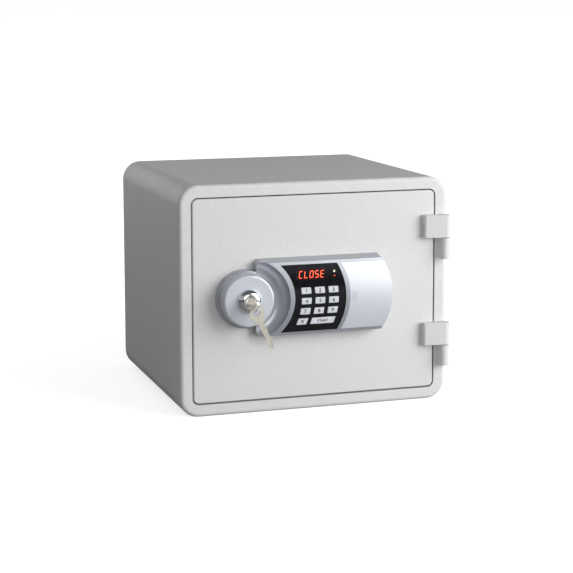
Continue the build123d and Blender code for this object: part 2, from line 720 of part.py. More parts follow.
def spindle():
    """The knob's shaft through the door."""
    return rod_y(SPINDLE_R, FRONT + HUB_DEPTH, FRONT + CARRIER_FAR + CRANK_ARM + 1, KNOB_X, LOCK_Z)


def crank():
    """The arm on the spindle's end, with a pin that reaches forward into the carrier."""
    near = CARRIER_FAR + 0.8
    far = near + CRANK_ARM
    reach = THROW / 2
    hub = Pos(KNOB_X, LOCK_Z) * Circle(SPINDLE_R + 4)
    tip = Pos(KNOB_X + reach, LOCK_Z + reach) * Circle(CRANK_PIN_R + 2)
    arm = make_hull((hub + tip).edges())
    part = inward(arm, near, far) - rod_y(SPINDLE_R, FRONT, FRONT + 60, KNOB_X, LOCK_Z)
    pin = rod_y(CRANK_PIN_R, FRONT + CARRIER_NEAR + 0.2, FRONT + near, KNOB_X + reach, LOCK_Z + reach)
    return part + pin


def solenoid_body():
    """The coil's yoke with the coil inside, screwed below the carrier."""
    low = SOLENOID_TOP - SOLENOID_H
    y0 = FRONT + FRAME_NEAR + FRAME_PLATE
    y1 = y0 + SOLENOID_D
    x0 = SOLENOID_X - SOLENOID_W / 2
    x1 = SOLENOID_X + SOLENOID_W / 2
    yoke = block(x0, x1, y0, y1, low, SOLENOID_TOP)
    yoke -= block(x0 - 1, x1 + 1, y0 + 1.5, y1 + 1, low + 2, SOLENOID_TOP - 2)
    y = plunger_y()
    yoke += rod_z(5.2, low + 2, SOLENOID_TOP - 2, SOLENOID_X, y)
    return yoke - rod_z(PLUNGER_R + 0.1, low + 4, SOLENOID_TOP + 1, SOLENOID_X, y)


def plunger_y():
    """The solenoid pin's Y: its near side reaches across the carrier's plate."""
    return FRONT + CARRIER_NEAR + PLUNGER_R + 0.8 + CARRIER_PLATE / 2


def solenoid_pin():
    """The pin that stands behind the carrier when locked, drawn back here."""
    low = SOLENOID_TOP - SOLENOID_H + 5
    pin = rod_z(PLUNGER_R, low, SOLENOID_TOP + 6, SOLENOID_X, plunger_y())
    return chamfer(pin.edges().group_by(Axis.Z)[-1], 0.8)


# ======== lock unit ========
def knob_disc(radius):
    """A disc centred on the knob."""
    return Pos(KNOB_X, LOCK_Z) * Circle(radius)


def bulge(apex, radius):
    """A disc whose right-hand side is an arc that bulges to the apex."""
    return Pos(apex - radius, LOCK_Z) * Circle(radius)


def band(half):
    """A level band about the lock's centre line."""
    return Pos(0, LOCK_Z) * Rectangle(2 * CASE_W, 2 * half)


def crown(lower):
    """The bar whose near side is the lock's convex front, drawn in by an amount."""
    y = FRONT - LOCK_PROUD + CROWN_R
    return Pos(0, y, LOCK_Z) * Rot(0, 90, 0) * Cylinder(CROWN_R - lower, 2 * CASE_W)


def lock_block():
    """The drafted block with an arc at its right end and a convex front."""
    outline = Pos(LOCK_LEFT + CASE_W / 2, LOCK_Z) * Rectangle(CASE_W, LOCK_HEIGHT)
    outline = fillet(outline.vertices().group_by(Axis.X)[0], LOCK_LEFT_CORNER)
    middle = END_APEX - END_R
    left = Pos((LOCK_LEFT + middle) / 2, LOCK_Z) * Rectangle(middle - LOCK_LEFT, LOCK_HEIGHT)
    outline = outline & (bulge(END_APEX, END_R) + left)
    right = outline.vertices().group_by(Axis.X)[-1]
    outline = fillet(right, 2.5)
    body = extrude(Plane.XZ.offset(-FRONT) * outline, amount=LOCK_PROUD + 1, taper=LOCK_DRAFT)
    return body & crown(0)


def panel_outline(inset):
    """The keypad panel: between an arc about the knob and an arc at its right."""
    shape = bulge(PANEL_APEX - inset, PANEL_END_R - inset) & band(PANEL_HALF - inset)
    return shape - knob_disc(SCOOP_R + RIM + inset)


def cover_region(gap):
    """Everything to the right of the battery cover's left arc, between the rails."""
    right = Pos(CASE_W / 2, LOCK_Z) * Rectangle(CASE_W, 2 * (PANEL_HALF - gap))
    return right - bulge(COVER_APEX + gap, PANEL_END_R + gap)


def scoop():
    """The turned cut that leaves the knob's collar and a dished wall up to the rim."""
    start = COLLAR_R + 0.3
    reach = SCOOP_R - start
    rise = SCOOP_TOP - COLLAR_PROUD
    diagonal = sqrt(0.5)
    middle = (start + reach * diagonal, SCOOP_TOP - rise * diagonal)
    top = LOCK_PROUD + 10
    edge = Polyline((SCOOP_R, SCOOP_TOP), (SCOOP_R, top), (0, top), (0, COLLAR_PROUD), (start, COLLAR_PROUD))
    profile = make_face(edge + ThreePointArc((start, COLLAR_PROUD), middle, (SCOOP_R, SCOOP_TOP)))
    return about_knob(profile)


def collar():
    """The raised round collar that the knob turns on."""
    return about_knob(
        [
            (0, 0),
            (COLLAR_R, 0),
            (COLLAR_R - 0.6, COLLAR_PROUD - 2.5),
            (COLLAR_R - 1.4, COLLAR_PROUD - 0.8),
            (COLLAR_R - 3.0, COLLAR_PROUD),
            (0, COLLAR_PROUD),
        ]
    )


def rail_tongues(fit):
    """The battery cover's two tongues, or with a fit the grooves they run in."""
    bar = Rectangle(2 * CASE_W, 2 * (PANEL_HALF + RAIL_TONGUE_OUT + fit))
    shape = outward(Pos(0, LOCK_Z) * bar, RAIL_TONGUE_LOW - fit, RAIL_TONGUE_HIGH + fit)
    right = Pos(CASE_W / 2, LOCK_Z) * Rectangle(CASE_W, LOCK_HEIGHT)
    right -= bulge(COVER_APEX + 1 - fit, PANEL_END_R)
    return shape & outward(right, 0, LOCK_PROUD)


def lock_housing():
    """The moulded housing: scoop, collar, keypad recess and well, battery bay with rails."""
    housing = lock_block() - scoop() + collar()
    recess = outward(panel_outline(0), 0, LOCK_PROUD + 5)
    housing -= recess - crown(PANEL_SUNK + PANEL_PLATE)
    housing -= outward(panel_outline(3), WELL_FLOOR, LOCK_PROUD + 5)
    for x, z in board_posts():
        housing += rod_y(3, FRONT - BOARD_LOW, FRONT - WELL_FLOOR + 0.5, x, z)
    housing -= outward(cover_region(0), COVER_LIP - COVER_GAP, LOCK_PROUD + 5)
    housing -= rail_tongues(COVER_GAP)
    bay = cover_region(3) & bulge(END_APEX - BAY_WALL, END_R - BAY_WALL)
    housing -= outward(bay, 3, LOCK_PROUD)
    housing -= rod_y(HUB_R + RUN, FRONT - COLLAR_PROUD - 1, FRONT + 1, KNOB_X, LOCK_Z)
    for x, z in lock_screw_places():
        housing -= rod_y(LOCK_SCREW_R, FRONT - LOCK_SCREW_IN - CUT, FRONT + CUT, x, z)
    return housing - lead_hole(LEAD_HOLE, FRONT - WELL_FLOOR - CUT, FRONT + CUT)


def board_posts():
    """Four posts under the circuit board's corners."""
    middle = PANEL_APEX - 41.0
    return [(middle + sx * 22, LOCK_Z + sz * (PANEL_HALF - 10)) for sx in (-1, 1) for sz in (-1, 1)]


def key_faces():
    """Each key's name and outline: rows step and lean along the panel's right-hand arc."""
    rows = [["1", "2", "3"], ["4", "5", "6"], ["7", "8", "9"], ["0", "start"]]
    faces = {}
    for row, names in enumerate(rows):
        dz = KEY_TOP_DZ - row * KEY_PITCH_Z
        shift = sqrt(PANEL_END_R**2 - dz**2) - PANEL_END_R
        lean = dz / PANEL_END_R * KEY_H / 2
        for column, name in enumerate(names):
            wide = name == "start"
            width = KEY_W + KEY_PITCH_X if wide else KEY_W
            x = KEY_MID_X + shift + (KEY_PITCH_X / 2 if wide else (column - 1) * KEY_PITCH_X)
            faces[name] = (x, LOCK_Z + dz, width, lean)
    return faces


def key_outline(x, z, width, lean, grow):
    """A key's outline, a parallelogram with softened corners, grown all round."""
    half_w = width / 2 + grow
    half_h = KEY_H / 2 + grow
    corners = [
        (x - half_w - lean, z + half_h),
        (x + half_w - lean, z + half_h),
        (x + half_w + lean, z - half_h),
        (x - half_w + lean, z - half_h),
    ]
    face = make_face(Polyline(*corners, close=True))
    return fillet(face.vertices(), 0.9 + grow)


def key_cap(face):
    """A key: a cap whose top follows the crown, over a flange and a stem."""
    cap = outward(key_outline(*face, 0), FLANGE_LOW, LOCK_PROUD + 5) & crown(PANEL_SUNK - KEY_PROUD)
    cap = chamfer(cap.faces().sort_by(Axis.Y)[0].edges(), 0.35)
    cap += outward(key_outline(*face, KEY_FLANGE), FLANGE_LOW, FLANGE_LOW + FLANGE_PLATE)
    x, z, width, lean = face
    stem = Pos(x, z) * Rectangle(width - 6, KEY_H - 4)
    return cap + outward(stem, BOARD_LOW + BOARD_PLATE + KEY_TRAVEL + 0.2, FLANGE_LOW)


def keypad_overlay():
    """The glossy panel with its key windows and the lamp's hole."""
    panel = outward(panel_outline(0.15), 0, LOCK_PROUD + 5) & crown(PANEL_SUNK)
    panel -= crown(PANEL_SUNK + PANEL_PLATE)
    for face in key_faces().values():
        panel -= outward(key_outline(*face, KEY_FIT), 0, LOCK_PROUD + 5)
    return panel - rod_y(LAMP_R + 0.1, FRONT - LOCK_PROUD - 5, FRONT, LAMP_X, LOCK_Z + LAMP_DZ)


def circuit_board():
    """The board that the keys press on, standing on its four posts."""
    return outward(panel_outline(4.5), BOARD_LOW, BOARD_LOW + BOARD_PLATE)


def display_module():
    """The digit block on the board, under the panel's tinted top."""
    shape = Pos(DISPLAY_X, LOCK_Z + DISPLAY_DZ) * Rectangle(DISPLAY_W, DISPLAY_H)
    return outward(shape, BOARD_LOW + BOARD_PLATE, LOCK_PROUD) & crown(PANEL_SUNK + PANEL_PLATE + 0.4)


def status_led():
    """The lamp: a domed body through the panel."""
    surface = LOCK_PROUD - CROWN_R + sqrt(CROWN_R**2 - LAMP_DZ**2) - PANEL_SUNK
    stem = rod_y(LAMP_R, FRONT - surface, FRONT - BOARD_LOW - BOARD_PLATE, LAMP_X, LOCK_Z + LAMP_DZ)
    return fillet(stem.edges().group_by(Axis.Y)[0], 0.7)


def battery_cover():
    """The sliding cover: convex front, lip down the right end, tongues and thumb ribs."""
    solid = lock_block() & outward(cover_region(COVER_GAP), COVER_LIP, LOCK_PROUD + 5)
    inside = cover_region(-5) & bulge(END_APEX - COVER_END, END_R - COVER_END)
    hollow = crown(COVER_PLATE) & outward(inside, 0, LOCK_PROUD)
    rail_skirt = Pos(0, LOCK_Z) * Rectangle(2 * CASE_W, 2 * (PANEL_HALF - COVER_PLATE))
    cover = solid - (hollow & outward(rail_skirt, 0, LOCK_PROUD))
    tongues = rail_tongues(0) & outward(bulge(END_APEX - 4.2, END_R - 4.2), 0, LOCK_PROUD)
    middle = Pos(0, LOCK_Z) * Rectangle(2 * CASE_W, 2 * (PANEL_HALF - 1))
    cover += tongues - outward(middle, 0, LOCK_PROUD)
    for step in range(3):
        rib = plan(1.0, 12, 0.45, COVER_APEX + 5.5 + 2.6 * step, LOCK_Z)
        cover += outward(rib, LOCK_PROUD - COVER_PLATE, LOCK_PROUD + 0.5)
    return cover


def battery_tray():
    """The cradle with one trough for each cell and an end wall at each side."""
    half = 2 * CELL_PITCH
    right = TRAY_LEFT + CELL_LENGTH + 4
    tray = block(TRAY_LEFT, right, FRONT - CELL_PROUD, FRONT - 3, LOCK_Z - half, LOCK_Z + half)
    for z in cell_heights():
        tray -= rod_x(CELL_R + 0.15, TRAY_LEFT + 1.6, right - 1.6, FRONT - CELL_PROUD, z)
    return tray


def cell_heights():
    return [LOCK_Z + (i - 1.5) * CELL_PITCH for i in range(4)]


def batteries():
    """Four cells with their raised contacts, facing alternate ways."""
    cells = []
    left = TRAY_LEFT + 1.9
    y = FRONT - CELL_PROUD
    for i, z in enumerate(cell_heights()):
        nub = 1.2
        if i % 2:
            can = rod_x(CELL_R, left, left + CELL_LENGTH - nub, y, z)
            tip = rod_x(2.7, left + CELL_LENGTH - nub, left + CELL_LENGTH, y, z)
        else:
            can = rod_x(CELL_R, left + nub, left + CELL_LENGTH, y, z)
            tip = rod_x(2.7, left, left + nub, y, z)
        cells.append(fillet(can.edges().filter_by(GeomType.CIRCLE), 0.6) + tip)
    return Compound(children=cells)


def lock_screws():
    """Screws from behind the door skin into the housing."""
    screws = []
    for x, z in lock_screw_places():
        head = rod_y(LOCK_SCREW_HEAD, FRONT + SHEET, FRONT + SHEET + 2.6, x, z)
        head = fillet(head.edges().group_by(Axis.Y)[-1], 1)
        screws.append(head + rod_y(LOCK_SCREW_R, FRONT - LOCK_SCREW_IN, FRONT + SHEET, x, z))
    return Compound(children=screws)


# ======== knob, cylinder and keys ========
def turn_knob():
    """The turned knob: flat face with a soft rim, drafted skirt, hub for the cylinder."""
    skirt = COLLAR_PROUD + 0.5
    outer = [
        (0, skirt),
        (KNOB_BASE_R, skirt),
        (KNOB_BASE_R - 0.2, skirt + 1.5),
        (KNOB_R + 0.4, KNOB_PROUD - 1.6),
        (KNOB_R - 0.2, KNOB_PROUD - 0.5),
        (KNOB_R - 1.4, KNOB_PROUD),
        (0, KNOB_PROUD),
    ]
    knob = about_knob(outer)
    knob -= about_knob([(HUB_R, 0), (KNOB_R - 2, 0), (KNOB_R - 2.6, KNOB_PROUD - 3), (HUB_R, KNOB_PROUD - 3)])
    knob += rod_y(HUB_R, FRONT - skirt - 1, FRONT + HUB_DEPTH, KNOB_X, LOCK_Z)
    knob -= rod_y(CYLINDER_R, FRONT - LOCK_PROUD, FRONT + CYLINDER_DEPTH, KNOB_X, LOCK_Z)
    return knob


def cylinder_body():
    """The chrome escutcheon dome with the cylinder behind it."""
    rise = DOME_PROUD - KNOB_PROUD
    flat = PLUG_R + 1.2
    middle = ((DOME_R + flat) / 2 + 2.4, KNOB_PROUD + rise * 0.74)
    arc = ThreePointArc((DOME_R, KNOB_PROUD + 0.8), middle, (flat, DOME_PROUD))
    foot = (DOME_R, KNOB_PROUD)
    rest = Polyline((flat, DOME_PROUD), (0, DOME_PROUD), (0, KNOB_PROUD), foot, (DOME_R, KNOB_PROUD + 0.8))
    body = about_knob(make_face(arc + rest))
    body += rod_y(CYLINDER_R, FRONT - KNOB_PROUD, FRONT + CYLINDER_DEPTH, KNOB_X, LOCK_Z)
    return body - rod_y(PLUG_R + RUN, FRONT - DOME_PROUD - 1, FRONT + CYLINDER_DEPTH - 2, KNOB_X, LOCK_Z)


def lock_plug():
    """The turning plug with its level keyway."""
    plug = rod_y(PLUG_R, FRONT - DOME_PROUD, FRONT + CYLINDER_DEPTH - 2.3, KNOB_X, LOCK_Z)
    half_w = BLADE_W / 2 + KEY_SLOT_FIT
    half_t = BLADE_T / 2 + KEY_SLOT_FIT
    near = FRONT - DOME_PROUD - CUT
    far = FRONT - DOME_PROUD + BLADE_LENGTH + 1
    return plug - block(KNOB_X - half_w, KNOB_X + half_w, near, far, LOCK_Z - half_t, LOCK_Z + half_t)


STRIP_MID = (BOW_HOLE_UP + BOW_HOLE_H / 2 + BOW_HALF_H) / 2
BOW_PROUD = DOME_PROUD + 0.3 + NECK + BOW_HALF_H
RING_PROUD = BOW_PROUD + STRIP_MID
STRIP_HALF = (BOW_HALF_H - BOW_HOLE_UP - BOW_HOLE_H / 2) / 2
RING_DROP = sqrt((RING_R - RING_WIRE - RING_FIT) ** 2 - STRIP_HALF**2) - BLADE_T / 2


def key_profile():
    """A key's outline, bow up, with the bow's centre at the origin and bitting down one edge."""
    half = BLADE_W / 2
    shoulder = -(BOW_HALF_H + NECK)
    tip = shoulder - BLADE_LENGTH
    neck_half = half + 3.5
    neck_top = [(-neck_half, -2), (neck_half, -2)]
    neck = Polyline(*neck_top, (neck_half, shoulder), (-neck_half, shoulder), close=True)
    right_side = [(half, shoulder + 1), (half, tip + 4), (1.2, tip), (-1.2, tip), (-half, tip + 4)]
    bitting = [(-half + (1.7 if i % 2 == 0 else 0.7 - 0.1 * i), tip + 7 + 3.2 * i) for i in range(6)]
    left_side = [(-half, tip + 25), (-half, shoulder + 1)]
    blade = Polyline(*right_side, *bitting, *left_side, close=True)
    shape = Ellipse(BOW_HALF_W, BOW_HALF_H) + make_face(neck) + make_face(blade)
    hole = SlotCenterToCenter(BOW_HOLE_W - BOW_HOLE_H, BOW_HOLE_H)
    return shape - Pos(0, BOW_HOLE_UP) * hole


def key_plate():
    """The key's plate, milled with a groove along the blade on both faces."""
    plate = extrude(key_profile(), amount=BLADE_T / 2, both=True)
    middle = -(BOW_HALF_H + NECK + BLADE_LENGTH / 2)
    for side in (-1, 1):
        plate -= Pos(1.0, middle, side * BLADE_T / 2) * Box(1.6, BLADE_LENGTH + 4, 0.9)
    return plate


def main_key():
    """The key in the cylinder, lying level, its bow towards the user."""
    return Pos(KNOB_X, FRONT - BOW_PROUD, LOCK_Z) * Rot(180, 0, 0) * key_plate()


def key_ring():
    """A round wire ring standing across the end of the main key's bow."""
    ring = Torus(RING_R, RING_WIRE)
    return Pos(KNOB_X, FRONT - RING_PROUD, LOCK_Z - RING_DROP) * Rot(0, 90, 0) * ring


def spare_key():
    """The spare, hanging on the ring with its plate level with the door's face."""
    pivot_z = LOCK_Z - RING_DROP - RING_R
    hang = -(BOW_HOLE_UP + BOW_HOLE_H / 2 - RING_WIRE - 2 * RING_FIT)
    placed = Rot(0, -SPARE_TILT, 0) * Rot(90, 0, 0) * Pos(0, hang, 0) * key_plate()
    return Pos(KNOB_X, FRONT - RING_PROUD, pivot_z) * placed


def main():
    save("case_shell", case_shell())
    save("back_panel", back_panel())
    save("front_frame", front_frame())
    save("insulation_body", insulation_body())
    save("inner_liner", inner_liner())
    save("liner_floor", liner_floor())
    save("liner_roof", liner_roof())
    save("liner_sides", liner_sides())
    save("liner_back", liner_back())
    save("keeper_plate", keeper_plate())
    save("anchor_sleeves", anchor_sleeves())
    save("door_skin", door_skin())
    save("door_inner_cover", door_inner_cover())
    save("door_insulation", door_insulation())
    save("door_gasket", door_gasket())
    for place, seam in HINGE_SEAMS.items():
        save(f"hinge_leaf_{place}", hinge_leaf(seam))
        save(f"hinge_knuckle_{place}", hinge_knuckle(seam))
        save(f"hinge_pin_{place}", hinge_pin(seam))
    save("hinge_washers", hinge_washers())
    save("bolt_frame", bolt_frame())
    save("carrier_studs", carrier_studs())
    save("bolt_carrier", bolt_carrier())
    save("bolt_lower", live_bolt(BOLT_HEIGHTS[0]))
    save("bolt_upper", live_bolt(BOLT_HEIGHTS[1]))
    save("fixed_bolts", fixed_bolts())
    save("spindle", spindle())
    save("crank", crank())
    save("solenoid_body", solenoid_body())
    save("solenoid_pin", solenoid_pin())
    save("lock_housing", lock_housing())
    save("keypad_overlay", keypad_overlay())
    save("circuit_board", circuit_board())
    save("display_module", display_module())
    save("status_led", status_led())
    save("battery_cover", battery_cover())
    save("battery_tray", battery_tray())
    save("batteries", batteries())
    save("lock_screws", lock_screws())
    save("cover_screws", cover_screws())
    save("turn_knob", turn_knob())
    save("cylinder_body", cylinder_body())
    save("lock_plug", lock_plug())
    save("main_key", main_key())
    save("key_ring", key_ring())
    save("spare_key", spare_key())
    for name, face in key_faces().items():
        save(f"key_{name}", key_cap(face))


main()
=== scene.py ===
"""An in room safe with a keypad lock, a turn knob and hanging keys, standing on a pale floor.

Metres. +X towards the hinge side, +Y to the back, +Z up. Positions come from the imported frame.
"""

import json
import math

import bpy
import numpy as np
from mathutils import Matrix, Vector


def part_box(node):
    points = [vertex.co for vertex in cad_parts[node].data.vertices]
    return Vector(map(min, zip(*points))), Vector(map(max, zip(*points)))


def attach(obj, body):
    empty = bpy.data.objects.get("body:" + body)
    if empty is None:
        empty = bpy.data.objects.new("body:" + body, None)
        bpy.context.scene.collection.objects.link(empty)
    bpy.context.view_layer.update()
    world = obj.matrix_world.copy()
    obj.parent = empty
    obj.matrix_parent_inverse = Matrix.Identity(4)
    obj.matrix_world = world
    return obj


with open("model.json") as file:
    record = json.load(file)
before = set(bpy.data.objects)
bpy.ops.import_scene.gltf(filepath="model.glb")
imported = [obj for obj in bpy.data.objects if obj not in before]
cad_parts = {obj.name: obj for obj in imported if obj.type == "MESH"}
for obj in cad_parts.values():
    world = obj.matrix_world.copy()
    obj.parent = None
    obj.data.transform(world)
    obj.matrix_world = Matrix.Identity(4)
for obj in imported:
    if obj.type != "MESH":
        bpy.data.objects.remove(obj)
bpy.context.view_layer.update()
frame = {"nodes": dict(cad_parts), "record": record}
nodes = frame["nodes"]

MM = 0.001
KEY_NAMES = [f"key_{digit}" for digit in range(10)] + ["key_start"]

# ---- the lock unit's crowned front, as in the part ----
CROWN_RADIUS = 237 * MM
LOCK_PROUD = 30 * MM
PANEL_SUNK = 0.3 * MM
KEY_PROUD = 0.6 * MM
PANEL_RADIUS = CROWN_RADIUS - PANEL_SUNK
KEY_RADIUS = CROWN_RADIUS + KEY_PROUD
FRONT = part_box("door_skin")[0].y
LOCK_Z = (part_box("turn_knob")[0].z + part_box("turn_knob")[1].z) / 2
CROWN_AXIS_Y = FRONT - LOCK_PROUD + CROWN_RADIUS

# ---- legends and the status word ----
LEGEND_LIFT = 0.05 * MM
LEGEND_BOLD = 0.19 * MM
DIGIT_SIZE = 7.0 * MM
WORD_SIZE = 4.6 * MM
WORD_SPACING = 1.25
STATUS_WORD = "CLOSE"
SEGMENTS = {"C": "adef", "L": "def", "O": "abcdef", "S": "acdfg", "E": "adefg"}
STATUS_X = -16 * MM
STATUS_RISE = 34.5 * MM
STATUS_HEIGHT = 10.6 * MM
STATUS_WIDTH = 5.9 * MM
STATUS_PITCH = 8.1 * MM
STATUS_BAR = 0.6 * MM
STATUS_SLANT = math.tan(math.radians(9))
SEGMENT_GAP = 0.12 * STATUS_BAR
WINDOW_W = 46 * MM
WINDOW_H = 15.5 * MM
WINDOW_SIDES = 40
WINDOW_POWER = 0.22
WINDOW_THICK = 0.03 * MM
PRINT_THICK = 0.05 * MM
MARK_SIDES = 24
MARK_HALF = (1.3 * MM, 0.55 * MM)
MARK_DROP = 6.4 * MM

# ---- battery contacts, measured from the tray's sides and front ----
CELL_COUNT = 4
CONTACT_THICK = 0.2 * MM
CONTACT_HALF_WIDTH = 3.2 * MM
CONTACT_INSIDE = 1.72 * MM
CONTACT_OUTSIDE = 0.12 * MM
CONTACT_PROUD = 0.1 * MM
CONTACT_DEPTH = 9 * MM
CONTACT_HOOK = 3 * MM

# ---- stage ----
SAFE_MIDDLE = (0, 0, 0.17)
FLOOR_HALF = 40.0
FLOOR_FADE = 1.6
# The floor's glow is weaker near the safe and full further out: a painted shadow round the safe's foot.
FLOOR_GLOW_NEAR_PAINTED_SHADOW = 0.66
FLOOR_GLOW_FAR = 1.0
FLOOR_GREY = (0.34, 0.34, 0.345, 1)
WHITE = (1, 1, 1, 1)
ROOM_BANDS = [(0.0, 0.06), (0.05, 0.06), (0.16, 0.38), (0.45, 0.44), (0.7, 0.14), (1.0, 0.10)]
ROOM_BLUE = 1.02
CAMERA_PLACE = (-0.77701, -2.43429, 0.60839)
CAMERA_YAW = 0.3141
CAMERA_PITCH = -0.1422
CAMERA_ROLL = -0.0015
CAMERA_LENS = 103.79
CAMERA_SENSOR = 36
CAMERA_SHIFT = -0.1


# ======== surfaces ========
def grid_faces(rows, columns, wrap_rows=False, wrap_columns=False):
    """Quads over a grid of points, closed either way round where it wraps."""
    i = np.arange(rows if wrap_rows else rows - 1)
    j = np.arange(columns if wrap_columns else columns - 1)
    i, j = (a.ravel() for a in np.meshgrid(i, j, indexing="ij"))
    down, across = (i + 1) % rows, (j + 1) % columns
    corners = [i * columns + j, i * columns + across, down * columns + across, down * columns + j]
    return np.stack(corners, axis=1).tolist()


def make_piece(name, points, faces, material, body, smooth=False):
    """A mesh piece from whole arrays of points, riding on a body of the frame."""
    mesh = bpy.data.meshes.new(name)
    mesh.from_pydata(points.reshape(-1, 3).tolist(), [], faces)
    mesh.polygons.foreach_set("use_smooth", np.full(len(mesh.polygons), smooth))
    mesh.materials.append(material)
    piece = bpy.data.objects.new(name, mesh)
    bpy.context.scene.collection.objects.link(piece)
    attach(piece, body)
    return piece


def onto_crown(across, rise, lift, radius):
    """Points on the crown: y is the axis less the root of (radius plus lift) squared less rise squared."""
    y = CROWN_AXIS_Y - np.sqrt((radius + lift) ** 2 - rise**2)
    return np.stack(np.broadcast_arrays(across, y, LOCK_Z + rise), axis=-1)


def prisms(outlines, low, high, radius):
    """Thin closed plates on the crown, one for each outline of (across, rise) in a whole array."""
    across, rise = outlines[..., 0], outlines[..., 1]
    layers = [onto_crown(across, rise, lift, radius) for lift in (high, low)]
    points = np.stack(layers, axis=1)
    count, sides = outlines.shape[:2]
    around = np.arange(sides)
    after = (around + 1) % sides
    walls = np.stack([around, around + sides, after + sides, after], axis=1).tolist()
    faces = []
    for start in range(0, 2 * sides * count, 2 * sides):
        faces.append([start + k for k in range(sides)])
        faces.append([start + sides + k for k in reversed(range(sides))])
        faces += [[start + k for k in wall] for wall in walls]
    return points, faces


# ======== materials ========
def new_material(name, **sockets):
    """A material whose constant values are set on the shader's own sockets."""
    material = bpy.data.materials.new(name)
    material.use_nodes = True
    shader = material.node_tree.nodes["Principled BSDF"]
    for socket, value in sockets.items():
        shader.inputs[socket.replace("_", " ")].default_value = value
    return material, shader


def add_node(host, kind, **settings):
    """One node in a material or world: keywords that name its sockets set them, the rest are properties."""
    node = host.node_tree.nodes.new(kind)
    for key, value in settings.items():
        socket = key.replace("_", " ")
        if socket in node.inputs:
            node.inputs[socket].default_value = value
        else:
            setattr(node, key, value)
    return node


def join(host, source, target):
    """A link between two sockets of a material or world."""
    host.node_tree.links.new(source, target)


def placed(material, scale=(1, 1, 1), turn=(0, 0, 0), centre=(0, 0, 0)):
    """Object coordinates, moved to a centre, turned and stretched."""
    coordinates = add_node(material, "ShaderNodeTexCoord")
    mapping = add_node(material, "ShaderNodeMapping")
    mapping.inputs["Scale"].default_value = scale
    mapping.inputs["Rotation"].default_value = turn
    mapping.inputs["Location"].default_value = [-c * s for c, s in zip(centre, scale)]
    join(material, coordinates.outputs["Object"], mapping.inputs["Vector"])
    return mapping.outputs["Vector"]


def noise(material, size, detail=2.0, rough=0.5, **where):
    """A noise whose features are about size across."""
    node = add_node(material, "ShaderNodeTexNoise", Scale=1 / size, Detail=detail, Roughness=rough)
    join(material, placed(material, **where), node.inputs["Vector"])
    return node.outputs["Fac"]


def cells(material, size, **where):
    """Flat random cells about size across."""
    node = add_node(material, "ShaderNodeTexVoronoi", Scale=1 / size)
    join(material, placed(material, **where), node.inputs["Vector"])
    return node.outputs["Color"], node.outputs["Distance"]


def ramp(host, source, stops, smooth=True):
    """A colour ramp over a value, from (position, colour) stops."""
    node = add_node(host, "ShaderNodeValToRGB")
    node.color_ramp.interpolation = "EASE" if smooth else "LINEAR"
    elements = node.color_ramp.elements
    for _ in stops[2:]:
        elements.new(0.5)
    for element, (position, colour) in zip(elements, stops):
        element.position = position
        element.color = (*colour, 1)
    join(host, source, node.inputs["Fac"])
    return node.outputs["Color"]


def tint(material, shader, value, tones, low=0.3, high=0.7):
    """Base colour running from the first tone to the second as a value goes from low to high."""
    tinted = ramp(material, value, [(low, tones[0]), (high, tones[1])])
    join(material, tinted, shader.inputs["Base Color"])


def gloss(material, shader, value, low, high):
    """Roughness that follows a value, the middle of its range stretched to low and high."""
    node = add_node(material, "ShaderNodeMapRange", From_Min=0.3, From_Max=0.7, To_Min=low, To_Max=high)
    join(material, value, node.inputs["Value"])
    join(material, node.outputs["Result"], shader.inputs["Roughness"])


def seen_and_thrown(host, seen, thrown, output):
    """One shader for what the eye sees and another for what is thrown on to everything else."""
    ray = add_node(host, "ShaderNodeLightPath")
    mix = add_node(host, "ShaderNodeMixShader")
    join(host, ray.outputs["Is Camera Ray"], mix.inputs["Fac"])
    join(host, thrown, mix.inputs[1])
    join(host, seen, mix.inputs[2])
    join(host, mix.outputs["Shader"], host.node_tree.nodes[output].inputs["Surface"])


def bumps(material, shader, layers):
    """Stacked bumps, each a (height, depth in metres, strength), joined to the shader's normal."""
    normal = None
    for height, depth, strength in layers:
        node = add_node(material, "ShaderNodeBump", Strength=strength, Distance=depth)
        join(material, height, node.inputs["Height"])
        if normal is not None:
            join(material, normal, node.inputs["Normal"])
        normal = node.outputs["Normal"]
    join(material, normal, shader.inputs["Normal"])


def shades(colour, spread):
    """A darker and a lighter shade of a colour."""
    return [tuple(min(1.0, c * (1 + side * spread)) for c in colour) for side in (-1, 1)]


def powder_coat(name, colour, roughness=0.5, grain=1.3 * MM, depth=0.05 * MM):
    """Baked powder paint: a pebbled skin, faint clouding and patchy gloss."""
    material, shader = new_material(name, Specular_IOR_Level=0.4)
    cloud = noise(material, 2.4 * MM, detail=4, rough=0.65)
    tint(material, shader, cloud, shades(colour, 0.035))
    patch = noise(material, 30 * MM)
    gloss(material, shader, patch, roughness - 0.05, roughness + 0.06)
    pebbles = noise(material, grain, detail=3)
    waves = noise(material, 4 * grain, detail=1)
    bumps(material, shader, [(waves, 4 * depth, 0.35), (pebbles, depth, 1.0)])
    return material


def lacquered_silver(name, colour, metallic, roughness, sparkle=0.05):
    """Silver lacquer over a moulding: fine metal flakes that differ in tone under a clear coat."""
    material, shader = new_material(name, Metallic=metallic, Coat_Weight=0.25, Coat_Roughness=0.2)
    flakes = cells(material, 0.28 * MM)[0]
    tint(material, shader, flakes, shades(colour, sparkle), 0.1, 0.9)
    patch = noise(material, 24 * MM)
    gloss(material, shader, patch, roughness - 0.015, roughness + 0.02)
    peel = noise(material, 1.6 * MM, detail=1)
    bumps(material, shader, [(peel, 0.01 * MM, 0.4)])
    return material


